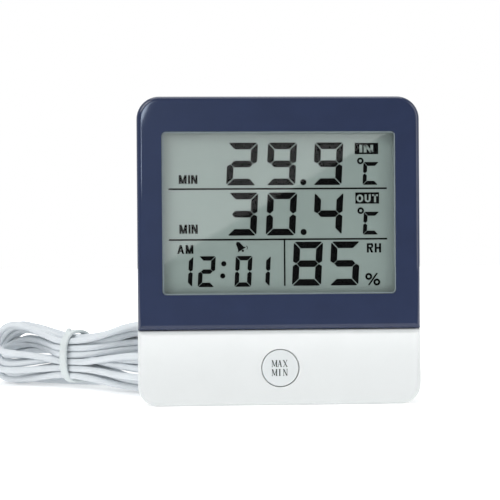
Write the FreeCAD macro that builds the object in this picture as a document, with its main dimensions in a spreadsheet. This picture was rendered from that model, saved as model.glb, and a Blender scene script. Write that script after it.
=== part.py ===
import FreeCAD
import Part
import Sketcher

import math
import os
import re

# Maximum minimum thermometer with a wired probe, in millimetres.
# +X is the right-hand side seen from the front, +Y is the back, +Z is up; the case stands on Z = 0.

os.makedirs("parts", exist_ok=True)
doc = FreeCAD.newDocument("thermometer")
Vector = FreeCAD.Vector

DIMENSIONS = {
    # case
    "body_width": 100.0,
    "body_height": 109.0,
    "front_y": -11.0,
    "back_y": 11.0,
    "split_y": -3.0,
    "parting_gap": 0.1,
    "shell_wall": 2.0,
    "side_wall": 1.8,
    "top_corner": 8.0,
    "bottom_corner": 7.0,
    "front_edge": 1.8,
    "rear_edge": 2.6,
    "seam_z": 26.65,
    # display
    "window_half": 41.1,
    "window_low": 39.2,
    "window_high": 96.4,
    "window_corner": 1.4,
    "lens_flange": 2.0,
    "lens_gap": 0.1,
    "flange_thick": 0.8,
    "glass_front": -8.1,
    "glass_thick": 2.2,
    "reflector_thick": 0.3,
    "glass_half": 42.7,
    "glass_low": 37.6,
    "glass_high": 97.9,
    "holder_back": -4.9,
    "holder_half": 44.4,
    "holder_low": 35.6,
    "holder_high": 99.6,
    "holder_fit": 0.1,
    "strip_half": 35.0,
    "strip_low": 95.4,
    "strip_high": 97.2,
    # boards
    "board_front": -3.6,
    "board_thick": 1.6,
    "board_half": 41.5,
    "board_low": 60.0,
    "board_high": 98.4,
    "small_board_half": 11.0,
    "small_board_low": 4.6,
    "small_board_high": 22.4,
    "post_radius": 2.3,
    "post_pilot": 0.9,
    "board_hole": 1.2,
    "board_screw_head": 2.0,
    "board_screw_shank": 0.85,
    # MAX/MIN button
    "key_z": 13.2,
    "key_radius": 6.45,
    "key_gap": 0.3,
    "key_flange": 7.8,
    # rear buttons
    "rear_key_x": -30.0,
    "rear_key_low": 69.0,
    "rear_key_pitch": 11.0,
    "rear_key_radius": 3.9,
    "rear_key_gap": 0.2,
    "rear_key_top": 10.8,
    # key switches
    "switch_side": 6.0,
    "plunger_radius": 1.68,
    "plunger_play": 0.06,
    # stand
    "stand_half": 16.0,
    "stand_pivot_z": 51.0,
    "stand_low": 9.0,
    "stand_thick": 3.0,
    "stand_play": 0.2,
    "stand_peg": 1.1,
    "stand_peg_reach": 1.4,
    # battery
    "cell_x": 30.5,
    "cell_y": 3.4,
    "cell_radius": 5.15,
    "cell_low": 11.0,
    "cell_body": 43.5,
    "bay_half": 5.9,
    "bay_low": 4.8,
    "bay_high": 56.0,
    "bay_floor": -2.0,
    "door_half": 7.9,
    "door_low": 3.9,
    "door_high": 57.3,
    "door_play": 0.15,
    "door_peg": 0.6,
    "running_play": 0.05,
    # screws
    "screw_x": 43.5,
    "screw_top_z": 103.0,
    "screw_low_z": 6.0,
    "screw_radius": 1.1,
    "screw_head": 2.3,
    "screw_seat_y": 6.0,
    "boss_radius": 4.0,
    # hanging keyhole
    "keyhole_z": 96.0,
    "keyhole_radius": 4.5,
    "keyhole_slot": 1.9,
    "keyhole_rise": 7.6,
    # vents
    "vent_left": 26.0,
    "vent_right": 39.0,
    "vent_low": 77.0,
    "vent_pitch": 3.0,
    "vent_height": 1.2,
    # probe cable
    "cable_radius": 1.3,
    "grommet_x": -26.0,
    "grommet_z": 36.0,
    "grommet_hole": 3.2,
    "grommet_nose": 3.5,
    "hank_x": -29.5,
    "hank_y": 19.0,
    "hank_turn": 146.5,
    "hank_depth": 5.4,
    "tie_at": 62.0,
    "tie_radius": 1.15,
    "tie_z": 12.5,
    "tie_half_height": 10.6,
    "tie_half_width": 6.4,
    "sleeve_radius": 2.3,
    "probe_radius": 2.0,
    "sleeve_length": 10.0,
    "probe_length": 18.0,
}

sheet = doc.addObject("Spreadsheet::Sheet", "dims")
for row, (alias, value) in enumerate(DIMENSIONS.items(), start=1):
    sheet.set(f"A{row}", alias)
    sheet.set(f"B{row}", str(value))
    sheet.setAlias(f"B{row}", alias)
doc.recompute()


def bound(text):
    """Names in a size's formula point at the sheet."""
    return re.sub(r"[a-z]\w+", r"dims.\g<0>", str(text))


def size(text):
    """The present value of a formula of sheet names."""
    return float(sheet.evalExpression(bound(text)))


# --- PartDesign helpers -------------------------------------------------------------------------

PLANES = {"x": ("YZ_Plane", 1), "y": ("XZ_Plane", -1), "z": ("XY_Plane", 1)}


def fix(sketch, geometry, point, across, up):
    """Holds a sketch point at two formulas."""
    for kind, formula in (("DistanceX", across), ("DistanceY", up)):
        index = sketch.addConstraint(Sketcher.Constraint(kind, -1, 1, geometry, point, size(formula)))
        sketch.setExpression(f"Constraints[{index}]", bound(formula))


def fix_radius(sketch, geometry, formula):
    index = sketch.addConstraint(Sketcher.Constraint("Radius", geometry, size(formula)))
    sketch.setExpression(f"Constraints[{index}]", bound(formula))


def draw_polygon(sketch, corners):
    """A closed outline of straight lines through corners given as formulas."""
    first = sketch.GeometryCount
    count = len(corners)
    points = [Vector(size(a), size(b), 0) for a, b in corners]
    for i in range(count):
        sketch.addGeometry(Part.LineSegment(points[i], points[(i + 1) % count]), False)
    for i in range(count):
        here, following = first + i, first + (i + 1) % count
        sketch.addConstraint(Sketcher.Constraint("Coincident", here, 2, following, 1))
    for i, (a, b) in enumerate(corners):
        fix(sketch, first + i, 1, a, b)


def draw_rounded(sketch, a0, a1, b0, b1, low_radius, high_radius):
    """A rectangle with rounded corners: one radius for the lower two, one for the upper two."""
    first = sketch.GeometryCount
    corners = [(a1, b0, -1, 1, low_radius, 270), (a1, b1, -1, -1, high_radius, 0),
               (a0, b1, 1, -1, high_radius, 90), (a0, b0, 1, 1, low_radius, 180)]
    centres, arcs = [], []
    for a, b, side, rise, radius, angle in corners:
        centre = (f"({a}) + {side} * ({radius})", f"({b}) + {rise} * ({radius})")
        circle = Part.Circle(Vector(size(centre[0]), size(centre[1]), 0), Vector(0, 0, 1), size(radius))
        centres.append(centre)
        arcs.append(Part.ArcOfCircle(circle, math.radians(angle), math.radians(angle + 90)))
    for i, arc in enumerate(arcs):
        before = arcs[i - 1]
        sketch.addGeometry(Part.LineSegment(before.EndPoint, arc.StartPoint), False)
        sketch.addGeometry(arc, False)
    for i in range(4):
        line, arc, following = first + 2 * i, first + 2 * i + 1, first + (2 * i + 2) % 8
        sketch.addConstraint(Sketcher.Constraint("Tangent", line, 2, arc, 1))
        sketch.addConstraint(Sketcher.Constraint("Tangent", arc, 2, following, 1))
        fix(sketch, arc, 3, *centres[i])
        fix_radius(sketch, arc, corners[i][4])


def draw(sketch, shape):
    """shape is ("rect", a0, a1, b0, b1), ("rounded", a0, a1, b0, b1, low radius, high radius),
    ("circle", a, b, radius) or ("polygon", corners)."""
    kind, values = shape[0], shape[1:]
    if kind == "rect":
        a0, a1, b0, b1 = values
        draw_polygon(sketch, [(a0, b0), (a1, b0), (a1, b1), (a0, b1)])
    elif kind == "rounded":
        draw_rounded(sketch, *values)
    elif kind == "polygon":
        draw_polygon(sketch, values[0])
    else:
        a, b, radius = values
        circle = Part.Circle(Vector(size(a), size(b), 0), Vector(0, 0, 1), size(radius))
        index = sketch.addGeometry(circle, False)
        fix(sketch, index, 3, a, b)
        fix_radius(sketch, index, radius)


def extrude(body, name, axis, start, end, shapes, remove=False):
    """Adds or removes the shapes' prism from start to end (start < end) along an axis."""
    role, sign = PLANES[axis]
    sketch = body.newObject("Sketcher::SketchObject", f"{name}_sketch")
    plane = next(item for item in body.Origin.OriginFeatures if item.Role == role)
    sketch.AttachmentSupport = (plane, [""])
    sketch.MapMode = "FlatFace"
    sketch.setExpression("AttachmentOffset.Base.z", f"{sign} * ({bound(start)})")
    for shape in shapes:
        draw(sketch, shape)
    before = body.Shape.Volume if remove else 0.0
    kind = "PartDesign::Pocket" if remove else "PartDesign::Pad"
    feature = body.newObject(kind, name)
    feature.Profile = sketch
    feature.setExpression("Length", f"({bound(end)}) - ({bound(start)})")
    feature.Reversed = (sign > 0) == remove
    doc.recompute()
    if remove and before - body.Shape.Volume < 1e-3:
        raise RuntimeError(f"{name} removes nothing")
    return feature


def round_edges(body, name, radius, wanted, kind="Fillet"):
    """Rounds (or chamfers) the edges of the body for which wanted(edge) is true."""
    base = body.Tip
    edges = [f"Edge{i + 1}" for i, edge in enumerate(base.Shape.Edges) if wanted(edge)]
    if not edges:
        raise RuntimeError(f"{name} finds no edge")
    feature = body.newObject(f"PartDesign::{kind}", name)
    feature.Base = (base, edges)
    feature.setExpression("Radius" if kind == "Fillet" else "Size", bound(radius))
    doc.recompute()
    return feature


def near(value, formula):
    return abs(value - size(formula)) < 1e-4


def upright_corner(x, z):
    """Chooses edges along Y that pass through (x, z)."""

    def wanted(edge):
        a, b = edge.Vertexes[0].Point, edge.Vertexes[-1].Point
        return near(a.x, x) and near(b.x, x) and near(a.z, z) and near(b.z, z) and abs(a.y - b.y) > 0.1

    return wanted


def any_of(*tests):
    return lambda edge: any(test(edge) for test in tests)


def lies_at_y(y):
    """Chooses the edges that lie wholly in the plane at y."""
    return lambda edge: near(edge.BoundBox.YMin, y) and near(edge.BoundBox.YMax, y)


def on_outline(edge):
    """Whether an edge belongs to the case's outer outline."""
    box = edge.BoundBox
    half, height = size("body_width / 2"), size("body_height")
    return box.XMin < 0.1 - half or box.XMax > half - 0.1 or box.ZMin < 0.1 or box.ZMax > height - 0.1


def new_body(name):
    body = doc.addObject("PartDesign::Body", name)
    body.Label = name
    return body


# --- Part helpers -------------------------------------------------------------------------------

TURNS = {"x": (Vector(0, 1, 0), 90), "y": (Vector(1, 0, 0), -90), "z": (Vector(0, 0, 1), 0)}


def place(item, x, y, z):
    for name, formula in zip("xyz", (x, y, z)):
        item.setExpression(f"Placement.Base.{name}", bound(formula))


def block(name, x0, x1, y0, y1, z0, z1):
    item = doc.addObject("Part::Box", name)
    for prop, low, high in (("Length", x0, x1), ("Width", y0, y1), ("Height", z0, z1)):
        item.setExpression(prop, f"({bound(high)}) - ({bound(low)})")
    place(item, x0, y0, z0)
    return item


def rod(name, axis, x, y, z, radius, length):
    """A cylinder from (x, y, z) along an axis."""
    item = doc.addObject("Part::Cylinder", name)
    item.setExpression("Radius", bound(radius))
    item.setExpression("Height", bound(length))
    direction, angle = TURNS[axis]
    item.Placement = FreeCAD.Placement(Vector(), FreeCAD.Rotation(direction, angle))
    place(item, x, y, z)
    return item


def joined(name, items):
    item = doc.addObject("Part::MultiFuse", name)
    item.Shapes = items
    return item


def grouped(name, items):
    """Separate solids that share one node."""
    item = doc.addObject("Part::Compound", name)
    item.Links = items
    return item


def less(name, base, tool):
    item = doc.addObject("Part::Cut", name)
    item.Base = base
    item.Tool = tool
    return item


def round_route(points):
    """A wire of straight runs joined by tangent arcs."""
    edges = []
    start = points[0]
    for i in range(1, len(points) - 1):
        here = points[i]
        back, ahead = points[i - 1] - here, points[i + 1] - here
        shorter = min(back.Length, ahead.Length)
        half = (math.pi - back.getAngle(ahead)) / 2
        reach = 0.45 * shorter
        radius = reach / math.tan(half)
        print(f"bend radius {radius:.1f}")
        into, out = Vector(back).normalize(), Vector(ahead).normalize()
        first, last = here + into * reach, here + out * reach
        inward = (into + out).normalize()
        centre_distance = math.hypot(reach, radius)
        middle = here + inward * (centre_distance - radius)
        edges.append(Part.LineSegment(start, first).toShape())
        edges.append(Part.Arc(first, middle, last).toShape())
        start = last
    edges.append(Part.LineSegment(start, points[-1]).toShape())
    return Part.Wire(edges)


def tube(name, wire, radius):
    """A round section swept along a wire."""
    start = wire.Edges[0].valueAt(wire.Edges[0].FirstParameter)
    heading = wire.Edges[0].tangentAt(wire.Edges[0].FirstParameter)
    section = Part.Wire([Part.Circle(start, heading, radius).toShape()])
    item = doc.addObject("Part::Feature", name)
    item.Shape = wire.makePipeShell([section], True, False)
    expected = math.pi * radius**2 * wire.Length
    print(f"{name}: length {wire.Length:.1f}, volume {item.Shape.Volume:.1f}, section x length {expected:.1f}")
    return item


# --- Case ---------------------------------------------------------------------------------------

HALF = "body_width / 2"
INNER = "body_width / 2 - side_wall"
INNER_TOP = "body_height - side_wall"

CASE_SCREWS = [("screw_x", "screw_low_z"), ("screw_x", "screw_top_z"), ("-screw_x", "screw_low_z"),
               ("-screw_x", "screw_top_z")]
BOARD_POSTS = [("-38.5", "63.4"), ("38.5", "63.4"), ("-38.5", "95"), ("38.5", "95")]
SMALL_BOARD_POSTS = [("-8", "19"), ("8", "19")]


def make_rear_case():
    body = new_body("rear_case")
    face = "split_y + parting_gap / 2"
    inner_back = "back_y - shell_wall"
    extrude(body, "case_block", "y", face, "back_y",
            [("rounded", f"-({HALF})", HALF, "0", "body_height", "bottom_corner", "top_corner")])
    round_edges(body, "case_rear_edge", "rear_edge", lies_at_y("back_y"))
    extrude(body, "case_hollow", "y", face, inner_back,
            [("rounded", f"-({INNER})", INNER, "side_wall", INNER_TOP, "bottom_corner - side_wall",
              "top_corner - side_wall")], remove=True)

    # raised parts inside, from the back wall forwards
    extrude(body, "stand_pan", "y", "back_y - stand_thick - 1.8", inner_back,
            [("rect", "-stand_half - 2.2", "stand_half + 2.2", "3.2", "stand_pivot_z + 3.4")])
    extrude(body, "battery_box", "y", face, inner_back,
            [("rect", "cell_x - 9.1", "cell_x + 9.1", "2.6", "bay_high + 2.4")])
    extrude(body, "keyhole_box", "y", "back_y - 6", inner_back,
            [("rect", "-7.2", "7.2", "keyhole_z - 6.4", "body_height - side_wall / 2")])
    for number, (x, z) in enumerate(CASE_SCREWS):
        extrude(body, f"case_boss_{number}", "y", face, inner_back, [("circle", x, z, "boss_radius")])
    for number, (x, z) in enumerate(BOARD_POSTS + SMALL_BOARD_POSTS):
        extrude(body, f"board_post_{number}", "y", "board_front + board_thick", inner_back,
                [("circle", x, z, "post_radius")])
        extrude(body, f"post_pilot_{number}", "y", "board_front + board_thick", "4",
                [("circle", x, z, "post_pilot")], remove=True)

    # screw holes with sunk heads
    for number, (x, z) in enumerate(CASE_SCREWS):
        extrude(body, f"head_well_{number}", "y", "screw_seat_y", "back_y",
                [("circle", x, z, "screw_head + 0.15")], remove=True)
        extrude(body, f"screw_way_{number}", "y", face, "screw_seat_y",
                [("circle", x, z, "screw_radius + 0.1")], remove=True)

    # battery bay, door seat and the door's peg holes
    extrude(body, "battery_bay", "y", "bay_floor", "back_y",
            [("rect", "cell_x - bay_half", "cell_x + bay_half", "bay_low", "bay_high")], remove=True)
    extrude(body, "door_seat", "y", f"{inner_back} - running_play", "back_y",
            [("rect", "cell_x - door_half - door_play", "cell_x + door_half + door_play",
              "door_low - door_play", "door_high + door_play")], remove=True)
    extrude(body, "door_peg_holes", "x", "cell_x - door_half - 1", "cell_x + door_half + 1",
            [("circle", "back_y - 1", "door_low + 1", "door_peg + running_play")], remove=True)
    extrude(body, "door_finger_notch", "y", "back_y - 0.9", "back_y",
            [("rect", "cell_x - 3.5", "cell_x + 3.5", "door_high", "door_high + 1.6")], remove=True)
    for name, y, z in (("lower_lead_way", "2", "bay_low + 1.4"), ("upper_lead_way", "5", "bay_high - 2")):
        extrude(body, name, "x", "cell_x - 9.6", "cell_x - bay_half", [("circle", y, z, "0.6")],
                remove=True)

    # stand recess, its peg holes and the finger notch below it
    extrude(body, "stand_recess", "y", "back_y - stand_thick - stand_play", "back_y",
            [("rect", "-stand_half - stand_play", "stand_half + stand_play", "stand_low - stand_play",
              "stand_pivot_z + stand_thick / 2 + stand_play")], remove=True)
    extrude(body, "stand_peg_holes", "x", "-stand_half - stand_peg_reach - 0.1",
            "stand_half + stand_peg_reach + 0.1",
            [("circle", "back_y - stand_thick / 2", "stand_pivot_z", "stand_peg + running_play")],
            remove=True)
    extrude(body, "stand_finger_notch", "y", "back_y - stand_thick - stand_play", "back_y",
            [("rect", "-6", "6", "stand_low - 3.4", "stand_low")], remove=True)

    # rear button holes
    for number in range(3):
        extrude(body, f"rear_key_hole_{number}", "y", inner_back, "back_y",
                [("circle", "rear_key_x", f"rear_key_low + {number} * rear_key_pitch",
                  "rear_key_radius + rear_key_gap")], remove=True)

    # vent slots beside the humidity sensor
    for number in range(6):
        low = f"vent_low + {number} * vent_pitch"
        extrude(body, f"vent_{number}", "y", inner_back, "back_y",
                [("rect", "vent_left", "vent_right", low, f"{low} + vent_height")], remove=True)

    # hanging keyhole: round way in, slot above it, and room behind the slot for a screw's head
    extrude(body, "keyhole_room", "y", "back_y - 5.2", inner_back,
            [("rect", "-5.4", "5.4", "keyhole_z - 4.9", "keyhole_z + keyhole_rise + 3")], remove=True)
    extrude(body, "keyhole_round", "y", inner_back, "back_y", [("circle", "0", "keyhole_z", "keyhole_radius")],
            remove=True)
    extrude(body, "keyhole_slot", "y", inner_back, "back_y",
            [("rect", "-keyhole_slot", "keyhole_slot", "keyhole_z + 2", "keyhole_z + keyhole_rise")],
            remove=True)
    extrude(body, "keyhole_slot_end", "y", inner_back, "back_y",
            [("circle", "0", "keyhole_z + keyhole_rise", "keyhole_slot")], remove=True)

    # cable way out
    extrude(body, "grommet_hole", "y", inner_back, "back_y",
            [("circle", "grommet_x", "grommet_z", "grommet_hole")], remove=True)
    return body


SEAM_CORNER = "0.3"


def make_shell(name, low, high, low_corner, high_corner, screw_z):
    """One of the two front shells: a tray open to the back, with two screw bosses."""
    body = new_body(name)
    back = "split_y - parting_gap / 2"
    inner_front = "front_y + shell_wall"
    inner_corners = [SEAM_CORNER if corner == SEAM_CORNER else f"{corner} - side_wall"
                     for corner in (low_corner, high_corner)]
    extrude(body, f"{name}_block", "y", "front_y", back,
            [("rounded", f"-({HALF})", HALF, low, high, low_corner, high_corner)])
    round_edges(body, f"{name}_front_edge", "front_edge",
                lambda edge: lies_at_y("front_y")(edge) and on_outline(edge))
    extrude(body, f"{name}_hollow", "y", inner_front, back,
            [("rounded", f"-({INNER})", INNER, f"{low} + side_wall", f"{high} - side_wall",
              *inner_corners)], remove=True)
    for number, sign in enumerate(("", "-")):
        extrude(body, f"{name}_boss_{number}", "y", inner_front, back,
                [("circle", f"{sign}screw_x", screw_z, "boss_radius - 0.9")])
        extrude(body, f"{name}_pilot_{number}", "y", f"{inner_front} + 0.6", back,
                [("circle", f"{sign}screw_x", screw_z, "screw_radius + 0.02")], remove=True)
    return body


def make_front_bezel():
    body = make_shell("front_bezel", "seam_z + parting_gap / 2", "body_height", SEAM_CORNER, "top_corner",
                      "screw_top_z")
    extrude(body, "window", "y", "front_y", "front_y + shell_wall",
            [("rounded", "-window_half - lens_gap", "window_half + lens_gap", "window_low - lens_gap",
              "window_high + lens_gap", "window_corner + lens_gap", "window_corner + lens_gap")], remove=True)
    return body


def make_front_lower_panel():
    body = make_shell("front_lower_panel", "0", "seam_z - parting_gap / 2", "bottom_corner", SEAM_CORNER,
                      "screw_low_z")
    extrude(body, "key_hole", "y", "front_y", "front_y + shell_wall",
            [("circle", "0", "key_z", "key_radius + key_gap")], remove=True)
    return body


# --- Display ------------------------------------------------------------------------------------


def make_display_lens():
    body = new_body("display_lens")
    extrude(body, "lens_face", "y", "front_y", "front_y + shell_wall",
            [("rounded", "-window_half", "window_half", "window_low", "window_high", "window_corner",
              "window_corner")])
    extrude(body, "lens_rim", "y", "front_y + shell_wall", "front_y + shell_wall + flange_thick",
            [("rect", "-window_half - lens_flange", "window_half + lens_flange",
              "window_low - lens_flange", "window_high + lens_flange")])
    return body


def make_lcd_holder():
    outer = block("holder_outer", "-holder_half", "holder_half", "glass_front", "holder_back", "holder_low",
                  "holder_high")
    bed = block("holder_bed", "-glass_half - holder_fit", "glass_half + holder_fit", "glass_front - 1",
                "glass_front + glass_thick + reflector_thick + 0.05", "glass_low - holder_fit",
                "glass_high + holder_fit")
    window = block("holder_window", "-39", "39", "-7", "holder_back + 1", "41", "97.6")
    return less("lcd_holder", less("holder_tray", outer, bed), window)


def make_display_stack():
    block("lcd_glass", "-glass_half", "glass_half", "glass_front", "glass_front + glass_thick", "glass_low",
          "glass_high")
    back = "glass_front + glass_thick"
    block("lcd_reflector", "-glass_half", "glass_half", back, f"{back} + reflector_thick", "glass_low",
          "strip_low - 0.4")
    block("zebra_connector", "-strip_half", "strip_half", back, "board_front", "strip_low", "strip_high")
    make_lcd_holder()


# --- Boards and what is on them -----------------------------------------------------------------


def make_boards():
    back = "board_front + board_thick"
    board = block("board_blank", "-board_half", "board_half", "board_front", back, "board_low", "board_high")
    holes = [rod(f"board_hole_{i}", "y", x, "board_front - 1", z, "board_hole", "4")
             for i, (x, z) in enumerate(BOARD_POSTS)]
    less("circuit_board", board, joined("board_holes", holes))
    small = block("small_board_blank", "-small_board_half", "small_board_half", "board_front", back,
                  "small_board_low", "small_board_high")
    ways = [rod(f"small_hole_{i}", "y", x, "board_front - 1", z, "board_hole", "4")
            for i, (x, z) in enumerate(SMALL_BOARD_POSTS)]
    less("button_board", small, joined("small_holes", ways))

    dome = doc.addObject("Part::Sphere", "blob_ball")
    dome.Radius = 17
    place(dome, "4", f"{back} - 15.4", "76")
    less("chip_blob", dome, block("blob_trim", "-20", "30", "-40", back, "50", "100"))
    rod("quartz_crystal", "x", "-16", f"{back} + 1.05", "88", "1.05", "6")
    rod("buzzer", "y", "15", back, "86", "6", "4.6")
    block("humidity_sensor", "28", "33", back, f"{back} + 1.6", "82", "89")
    bead = doc.addObject("Part::Sphere", "thermistor_bead")
    bead.Radius = 1.2
    place(bead, "37", "3.4", "80")
    legs = [rod(f"thermistor_leg_{i}", "y", x, back, "80", "0.25", "5.2")
            for i, x in enumerate(["36.5", "37.5"])]
    joined("indoor_thermistor", [bead] + legs)


def make_switch(name, x, z, face, top, well):
    """A key switch: a square body with a round way for its plunger. It stands between y = face and top."""
    half = "switch_side / 2"
    low, high = (face, top) if size(face) < size(top) else (top, face)
    body = block(f"{name}_blank", f"{x} - {half}", f"{x} + {half}", low, high, f"{z} - {half}", f"{z} + {half}")
    start, end = (well, f"{top} + 1") if size(well) < size(top) else (f"{top} - 1", well)
    way = rod(f"{name}_way", "y", x, start, z, "plunger_radius + plunger_play", f"({end}) - ({start})")
    less(name, body, way)


def make_front_key():
    body = new_body("max_min_button")
    extrude(body, "key_cap", "y", "front_y", "front_y + shell_wall + 0.05",
            [("circle", "0", "key_z", "key_radius")])
    round_edges(body, "key_edge", "0.35", lies_at_y("front_y"))
    extrude(body, "key_flange", "y", "front_y + shell_wall + 0.05", "front_y + shell_wall + 0.95",
            [("circle", "0", "key_z", "key_flange")])
    extrude(body, "key_stem", "y", "front_y + shell_wall + 0.95", "-7.3", [("circle", "0", "key_z", "2.4")])
    rod("max_min_plunger", "y", "0", "-7.3", "key_z", "plunger_radius", "2.1")
    make_switch("max_min_switch", "0", "key_z", "board_front", "-6.3", "-4.3")


def make_rear_key(number, name):
    z = f"(rear_key_low + {number} * rear_key_pitch)"
    body = new_body(f"{name}_button")
    extrude(body, f"{name}_cap", "y", "8", "rear_key_top", [("circle", "rear_key_x", z, "rear_key_radius")])
    round_edges(body, f"{name}_edge", "0.5", lies_at_y("rear_key_top"))
    extrude(body, f"{name}_flange", "y", "7.6", "8.8", [("circle", "rear_key_x", z, "rear_key_radius + 1")])
    extrude(body, f"{name}_stem", "y", "2.4", "7.6", [("circle", "rear_key_x", z, "2")])
    rod(f"{name}_plunger", "y", "rear_key_x", "0.4", z, "plunger_radius", "2")
    make_switch(f"{name}_switch", "rear_key_x", z, "board_front + board_thick", "1.4", "-0.6")


# --- Battery ------------------------------------------------------------------------------------


def make_battery():
    can = rod("cell_can", "z", "cell_x", "cell_y", "cell_low", "cell_radius", "cell_body")
    nub = rod("cell_nub", "z", "cell_x", "cell_y", "cell_low + cell_body", "1.9", "1")
    joined("battery_cell", [can, nub])

    left = "cell_x - bay_half"
    plate = block("contact_flat", left, "cell_x + bay_half", "-1.9", "8.8", "bay_high - 0.5", "bay_high")
    tab = block("contact_tab", left, f"{left} + 0.4", "0", "7", "bay_high - 4", "bay_high")
    joined("battery_contact", [plate, tab])

    foot = block("spring_flat", left, "cell_x + bay_half", "-1.9", "8.8", "bay_low", "bay_low + 0.4")
    lug = block("spring_tab", left, f"{left} + 0.4", "0", "7", "bay_low", "bay_low + 3")
    height = size("cell_low - bay_low - 0.9")
    helix = Part.makeHelix(height / 3.2, height, 3.4)
    helix.translate(Vector(size("cell_x"), size("cell_y"), size("bay_low + 0.65")))
    coil = tube("spring_coil", Part.Wire(helix.Edges), 0.35)
    joined("battery_spring", [foot, lug, coil])

    board_back = size("board_front + board_thick")
    wall = size(left)
    for name, y, z, across, rise in (
        ("battery_lead_negative", 2.0, size("bay_low + 1.4"), 19.9, 64.0),
        ("battery_lead_positive", 5.0, size("bay_high - 2"), 19.9, 68.5),
    ):
        route = [Vector(wall, y, z), Vector(across, y, z), Vector(across, y, rise),
                 Vector(across, board_back, rise)]
        tube(name, round_route(route), 0.5)


def make_battery_door():
    body = new_body("battery_door")
    inner = "back_y - shell_wall"
    extrude(body, "door_plate", "y", inner, "back_y",
            [("rect", "cell_x - door_half", "cell_x + door_half", "door_low", "door_high")])
    lower = any_of(*[lambda edge, y=y: near(edge.BoundBox.ZMax, "door_low") and lies_at_y(y)(edge)
                     for y in ("back_y", inner)])
    round_edges(body, "door_knuckle", "shell_wall / 2 - 0.01", lower)
    extrude(body, "door_pegs", "x", "cell_x - door_half - 0.85", "cell_x + door_half + 0.85",
            [("circle", "back_y - 1", "door_low + 1", "door_peg")])
    extrude(body, "door_tongue", "y", f"{inner} - 1.6", inner,
            [("rect", "cell_x - 3", "cell_x + 3", "bay_high - 1.2", "bay_high - 0.7")])
    extrude(body, "door_arrow", "y", "back_y - 0.35", "back_y",
            [("polygon", [("cell_x - 2.6", "door_high - 7"), ("cell_x + 2.6", "door_high - 7"),
                          ("cell_x", "door_high - 3.6")])], remove=True)
    for number in range(4):
        low = f"door_high - 10 - {number} * 1.8"
        extrude(body, f"door_grip_{number}", "y", "back_y - 0.35", "back_y",
                [("rect", "cell_x - 4", "cell_x + 4", f"{low} - 0.8", low)], remove=True)
    return body


# --- Stand --------------------------------------------------------------------------------------


def make_stand():
    body = new_body("stand")
    inner = "back_y - stand_thick"
    top = "stand_pivot_z + stand_thick / 2"
    extrude(body, "stand_plate", "y", inner, "back_y",
            [("rect", "-stand_half", "stand_half", "stand_low", top)])
    knuckle = any_of(*[lambda edge, y=y: near(edge.BoundBox.ZMin, top) and lies_at_y(y)(edge)
                       for y in ("back_y", inner)])
    round_edges(body, "stand_knuckle", "stand_thick / 2 - 0.01", knuckle)
    corners = any_of(upright_corner("stand_half", "stand_low"), upright_corner("-stand_half", "stand_low"))
    round_edges(body, "stand_corners", "3", corners)
    extrude(body, "stand_pegs", "x", "-stand_half - stand_peg_reach", "stand_half + stand_peg_reach",
            [("circle", "back_y - stand_thick / 2", "stand_pivot_z", "stand_peg")])
    extrude(body, "stand_lightening", "y", inner, "back_y - 1.2",
            [("rect", "-stand_half + 3", "stand_half - 3", "stand_low + 6", "stand_pivot_z - 4")], remove=True)
    return body


# --- Screws -------------------------------------------------------------------------------------


def make_screws():
    parts = []
    for number, (x, z) in enumerate(CASE_SCREWS):
        shank = rod(f"case_shank_{number}", "y", x, "-8", z, "screw_radius", "screw_seat_y + 8")
        head = rod(f"case_head_{number}", "y", x, "screw_seat_y", z, "screw_head", "1.9")
        whole = joined(f"case_screw_blank_{number}", [shank, head])
        across = block(f"case_slot_a_{number}", f"{x} - 1.5", f"{x} + 1.5", "7", "9",
                       f"{z} - 0.3", f"{z} + 0.3")
        down = block(f"case_slot_b_{number}", f"{x} - 0.3", f"{x} + 0.3", "7", "9",
                     f"{z} - 1.5", f"{z} + 1.5")
        parts.append(less(f"case_screw_{number}", whole, joined(f"case_cross_{number}", [across, down])))
    grouped("case_screws", parts)

    small = []
    for number, (x, z) in enumerate(BOARD_POSTS + SMALL_BOARD_POSTS):
        shank = rod(f"board_shank_{number}", "y", x, "board_front", z, "board_screw_shank", "6")
        head = rod(f"board_head_{number}", "y", x, "board_front - 1.2", z, "board_screw_head", "1.2")
        small.append(joined(f"board_screw_{number}", [shank, head]))
    grouped("board_screws", small)


# --- Probe cable --------------------------------------------------------------------------------

# Hand-chosen route points of the two free stretches.
LEAD_ROUTE = [(-26.0, 14.5, 36.0), (-26.0, 30.0, 36.0), (-47.0, 33.0, 23.5)]
TAIL_ROUTE = [(-83.2, 61.0, 1.4), (-67.7, 55.6, 1.4), (-53.4, 48.1, 2.4)]

# The hank's side outline: along its length, and up.
HANK_OUTLINE = [("0", "9"), ("0", "19"), ("12", "27.4"), ("30", "27.2"), ("tie_at", "22.3"), ("92", "25.2"),
                ("102", "17"), ("102", "8"), ("92", "0.1"), ("tie_at", "2.6"), ("30", "0.1"), ("12", "0.1")]


def hank_placement():
    turn = FreeCAD.Rotation(Vector(0, 0, 1), size("hank_turn"))
    return FreeCAD.Placement(Vector(size("hank_x"), size("hank_y"), 0), turn)


def make_grommet():
    barrel = rod("grommet_barrel", "y", "grommet_x", "back_y - shell_wall - 1.2", "grommet_z",
                 "grommet_hole - 0.05", "shell_wall + 1.2")
    inner = rod("grommet_inner", "y", "grommet_x", "back_y - shell_wall - 1.4", "grommet_z", "4.2", "1.4")
    nose = doc.addObject("Part::Cone", "grommet_nose")
    nose.Radius1 = 4.0
    nose.setExpression("Radius2", bound("cable_radius + 0.6"))
    nose.setExpression("Height", bound("grommet_nose"))
    direction, angle = TURNS["y"]
    nose.Placement = FreeCAD.Placement(Vector(), FreeCAD.Rotation(direction, angle))
    place(nose, "grommet_x", "back_y", "grommet_z")
    joined("cable_grommet", [barrel, inner, nose])


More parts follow.
